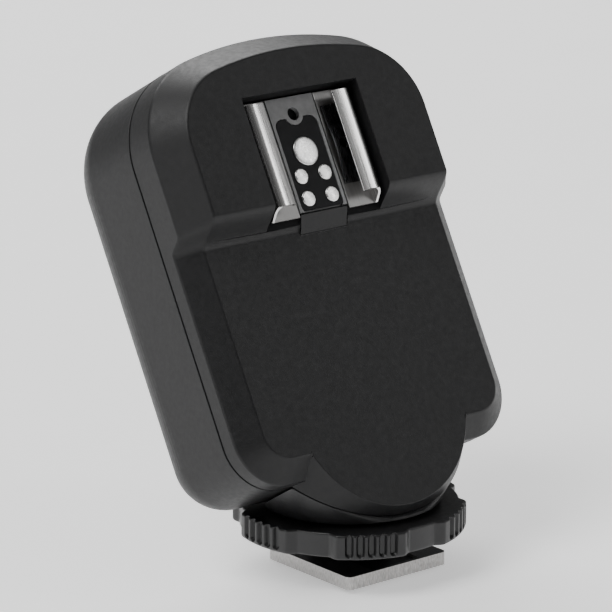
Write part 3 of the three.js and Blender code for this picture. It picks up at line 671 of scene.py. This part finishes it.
def shoe_spring(node, x0, x1):
    """Leaf spring on the channel's floor, crowned in its middle, with a hole there."""
    steps, start, length, rise = 32, 40, 12, 0.5
    rings = []
    for i in range(steps + 1):
        t = i / steps
        crown = rise * math.sin(math.pi * t) ** 2
        z = start + length * t
        low = SHOE_FLOOR + 0.06 + crown
        top = -low - SPRING_THICK
        rings.append([(x0, -low, z), (x1, -low, z), (x1, top, z), (x0, top, z)])
    hole = drum("y", SPRING_HOLE_R, -9, 0, ((x0 + x1) / 2, 0, SPRING_Z))
    strip = combine(loft(rings, CASING), [hole])
    piece(node + "_strip", soften(strip, 0.03), spring_steel, "casing", [node])


def contact_block():
    """Insulating plate with rounded shoulders and a notch around the locking hole, in its grey frame."""
    half, bottom, top, shoulder, dip = CONTACT_HALF - 0.55, 37.3, 51, 1.3, 1.75
    start = math.acos(-(LOCK_HOLE_Z - top) / dip)
    points = [(-half, bottom), (half, bottom)]
    points += arc(half - shoulder, top - shoulder, shoulder, 0, math.pi / 2, 8)
    points += arc(0, LOCK_HOLE_Z, dip, -math.pi / 2 + start, -math.pi / 2 - start, 20)
    points += arc(-half + shoulder, top - shoulder, shoulder, math.pi / 2, math.pi, 8)
    insulator = upright(points, -SHOE_FLOOR, -SHOE_FLOOR + 0.4)
    piece("insulator", soften(insulator, 0.06), block_black, "casing", ["contact_plate"])
    finish("contact_frame", frame_grey)


def contact(node, r):
    """Flat rivet head with a rounded rim and a slight dome, over its CAD node."""
    low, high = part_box(node)
    centre = CASING.inverted() @ ((low + high) / 2)
    top, base = SHOE_FLOOR + 0.35, SHOE_FLOOR + 0.04
    profile = [(0, -base), (r, -base), (r, -base - 0.1)]
    profile += [(r - 0.22 * (1 - math.cos(a)), -base - 0.1 - 0.13 * math.sin(a)) for a in (0.4, 0.8, 1.2)]
    profile += [(r * s, -top + 0.07 * s * s) for s in (0.85, 0.6, 0.3)]
    profile += [(0, -top)]
    disc = turned(profile, (centre.x, 0, centre.z), "y", CASING, 56)
    piece(node + "_dome", disc, silver, "casing", [node])


hot_shoe()
shoe_spring("shoe_spring_left", -8.7, -5.1)
shoe_spring("shoe_spring_right", 5.1, 8.7)
contact_block()
contact("center_contact", CENTER_CONTACT_R)
for number in "1234":
    contact("signal_contact_" + number, SIGNAL_CONTACT_R)


# ---------------------------------------------------------------- wheel and foot


def wheel():
    """Lobed ring: each lobe has rounded grooves open at its top edge, with a shallow saddle between lobes."""
    low, high = WHEEL_Z
    steps, rows, edge, ramp = 1440, 20, 0.35, math.radians(5.5)
    pitch = 2 * math.pi / WHEEL_LOBES
    groove_step = LOBE_HALF_ANGLE * 2 / (GROOVES + 1)
    quarter = [i / 6 * math.pi / 2 for i in range(7)]

    def radius(angle, z):
        signed = (angle - WHEEL_TURN + pitch / 2) % pitch - pitch / 2
        r = WHEEL_R - WHEEL_RECESS * smooth((abs(signed) - LOBE_HALF_ANGLE) / ramp)
        nearest = round(signed / groove_step)
        if abs(nearest) <= GROOVES // 2:
            across = (signed - nearest * groove_step) * WHEEL_R
            along = max(low + 0.95 - z, z - high + 0.5, 0)
            r -= GROOVE_DEPTH * smooth((0.66 - math.hypot(across, along)) / 0.34)
        return r

    levels = [(low + 1.6 * edge * (1 - math.cos(a)), edge * (1 - math.sin(a))) for a in quarter]
    levels += [(low + 1.6 * edge + (high - low - 2.6 * edge) * i / rows, 0) for i in range(1, rows)]
    levels += [(high - edge + edge * math.sin(a), edge * (1 - math.cos(a))) for a in quarter]
    turns = [(math.cos(2 * math.pi * i / steps), math.sin(2 * math.pi * i / steps)) for i in range(steps)]
    rings = []
    for z, inward in levels:
        reach = [radius(2 * math.pi * i / steps, z) - inward for i in range(steps)]
        rings.append([(r * c, STEM_Y + r * s, z) for r, (c, s) in zip(reach, turns)])
    shoulder = WHEEL_BORE_R + 1
    for r, z in ((shoulder, high), (WHEEL_BORE_R, high), (WHEEL_BORE_R, low), (shoulder, low)):
        rings.append([(r * c, STEM_Y + r * s, z) for c, s in turns])
    mesh = loft(rings, ROW, closed=True)
    piece("wheel_ring", mesh, wheel_black, "wheel", ["locking_wheel"])


wheel()
finish("wheel_insert", brass)
finish("pressure_disc foot_stem", wheel_black)
finish("foot_plate", foot_finish)
finish("foot_contact_block", block_black)
finish("foot_pin_center foot_pin_1 foot_pin_2 foot_pin_3 foot_pin_4", silver)
finish("locking_pin foot_screw_left foot_screw_right", plain_steel)
finish("base_screw_left base_screw_right", black_steel)
finish("case_screw_1 case_screw_2 case_screw_3 case_screw_4", black_steel)


# ---------------------------------------------------------------- controls and inside

finish("battery_door", casing_black)
finish("mode_button channel_button group_button power_knob sync_cover", soft_rubber)
finish("test_button", button_grey)
finish("display_window", dark_glass)
finish("display_module", dark_glass)
finish("status_light", light_guide)
finish("sync_jack", block_black)
finish("mode_switch channel_switch group_switch test_switch power_switch radio_module", plain_steel)
finish("battery_contact_left battery_contact_right battery_spring", silver)
finish("main_board control_board antenna_strip", board_green)
finish("battery", cell_wrap)


# ---------------------------------------------------------------- studio


def floor():
    """Pale paper just under the foot and its contact pins, faintly glowing so that it stays light."""
    reach, level = 6, -0.0006
    corners = ((-reach, -reach), (reach, -reach), (reach, reach), (-reach, reach))
    vertices = [(x, y, level) for x, y in corners]
    mesh = mesh_of(vertices, [(0, 1, 2, 3)], Matrix.Identity(4))
    m = Nodes("floor_paper")
    m.link(m.colours(m.noise(30, 2), (0.88, 0.88, 0.88), (0.9, 0.9, 0.9)), m.shader.inputs["Base Color"])
    m.shader.inputs["Roughness"].default_value = 0.9
    m.shader.inputs["Specular IOR Level"].default_value = 0.1
    m.shader.inputs["Emission Color"].default_value = (1, 1, 1, 1)
    m.shader.inputs["Emission Strength"].default_value = 0.6
    mesh.materials.append(m.material)
    made = bpy.data.objects.new("floor", mesh)
    bpy.context.scene.collection.objects.link(made)


def softbox(name, place, target, size, power):
    light = bpy.data.lights.new(name, "AREA")
    light.shape, light.size, light.size_y, light.energy = "RECTANGLE", size[0], size[1], power
    made = bpy.data.objects.new(name, light)
    made.location = place
    made.rotation_mode = "QUATERNION"
    made.rotation_quaternion = (Vector(target) - Vector(place)).to_track_quat("-Z", "Y")
    bpy.context.scene.collection.objects.link(made)


def camera():
    """The photo's own camera, as fitted to the corners of the foot and the shoe."""
    data = bpy.data.cameras.new("camera")
    data.lens, data.sensor_width = 233.95, 36
    data.clip_start, data.clip_end = 0.05, 50
    made = bpy.data.objects.new("camera", data)
    bpy.context.scene.collection.objects.link(made)
    ahead = Vector((0.6125, 0.7427, -0.2707)).normalized()
    right = Vector((0.7718, -0.6359, 0.0018)).normalized()
    up = right.cross(ahead).normalized()
    right = ahead.cross(up)
    turn = Matrix((right, up, -ahead)).transposed().to_4x4()
    made.matrix_world = Matrix.Translation((-0.35488, -0.41852, 0.19292)) @ turn
    bpy.context.scene.camera = made


def studio():
    """Even white room, darker on the side the camera stands on, with four softboxes."""
    world = bpy.data.worlds.new("studio")
    bpy.context.scene.world = world
    world.use_nodes = True
    tree = world.node_tree
    around = tree.nodes.new("ShaderNodeTexCoord")
    facing = tree.nodes.new("ShaderNodeVectorMath")
    facing.operation = "DOT_PRODUCT"
    facing.inputs[1].default_value = (-0.62, -0.73, 0.28)
    tree.links.new(around.outputs["Generated"], facing.inputs[0])
    spread = tree.nodes.new("ShaderNodeMapRange")
    spread.interpolation_type = "SMOOTHSTEP"
    for name, value in (("From Min", 0.55), ("From Max", 0.97), ("To Min", 0.26), ("To Max", 0.05)):
        spread.inputs[name].default_value = value
    tree.links.new(facing.outputs["Value"], spread.inputs["Value"])
    tree.nodes["Background"].inputs["Color"].default_value = (1, 1, 1, 1)
    tree.links.new(spread.outputs["Result"], tree.nodes["Background"].inputs["Strength"])
    softbox("key", (-0.9, 0.1, 1.3), (0, 0, 0.03), (0.8, 0.8), 16)
    softbox("back", (0.5, 1.2, 1.1), (0, 0, 0.03), (1.2, 0.8), 18)
    softbox("front", (0.61, -0.62, 0.54), (0, 0, 0.05), (0.16, 0.42), 0.82)
    softbox("left", (-1.06, -0.17, 0.3), (0, 0, 0.04), (0.3, 0.3), 0.9)


floor()
studio()
camera()
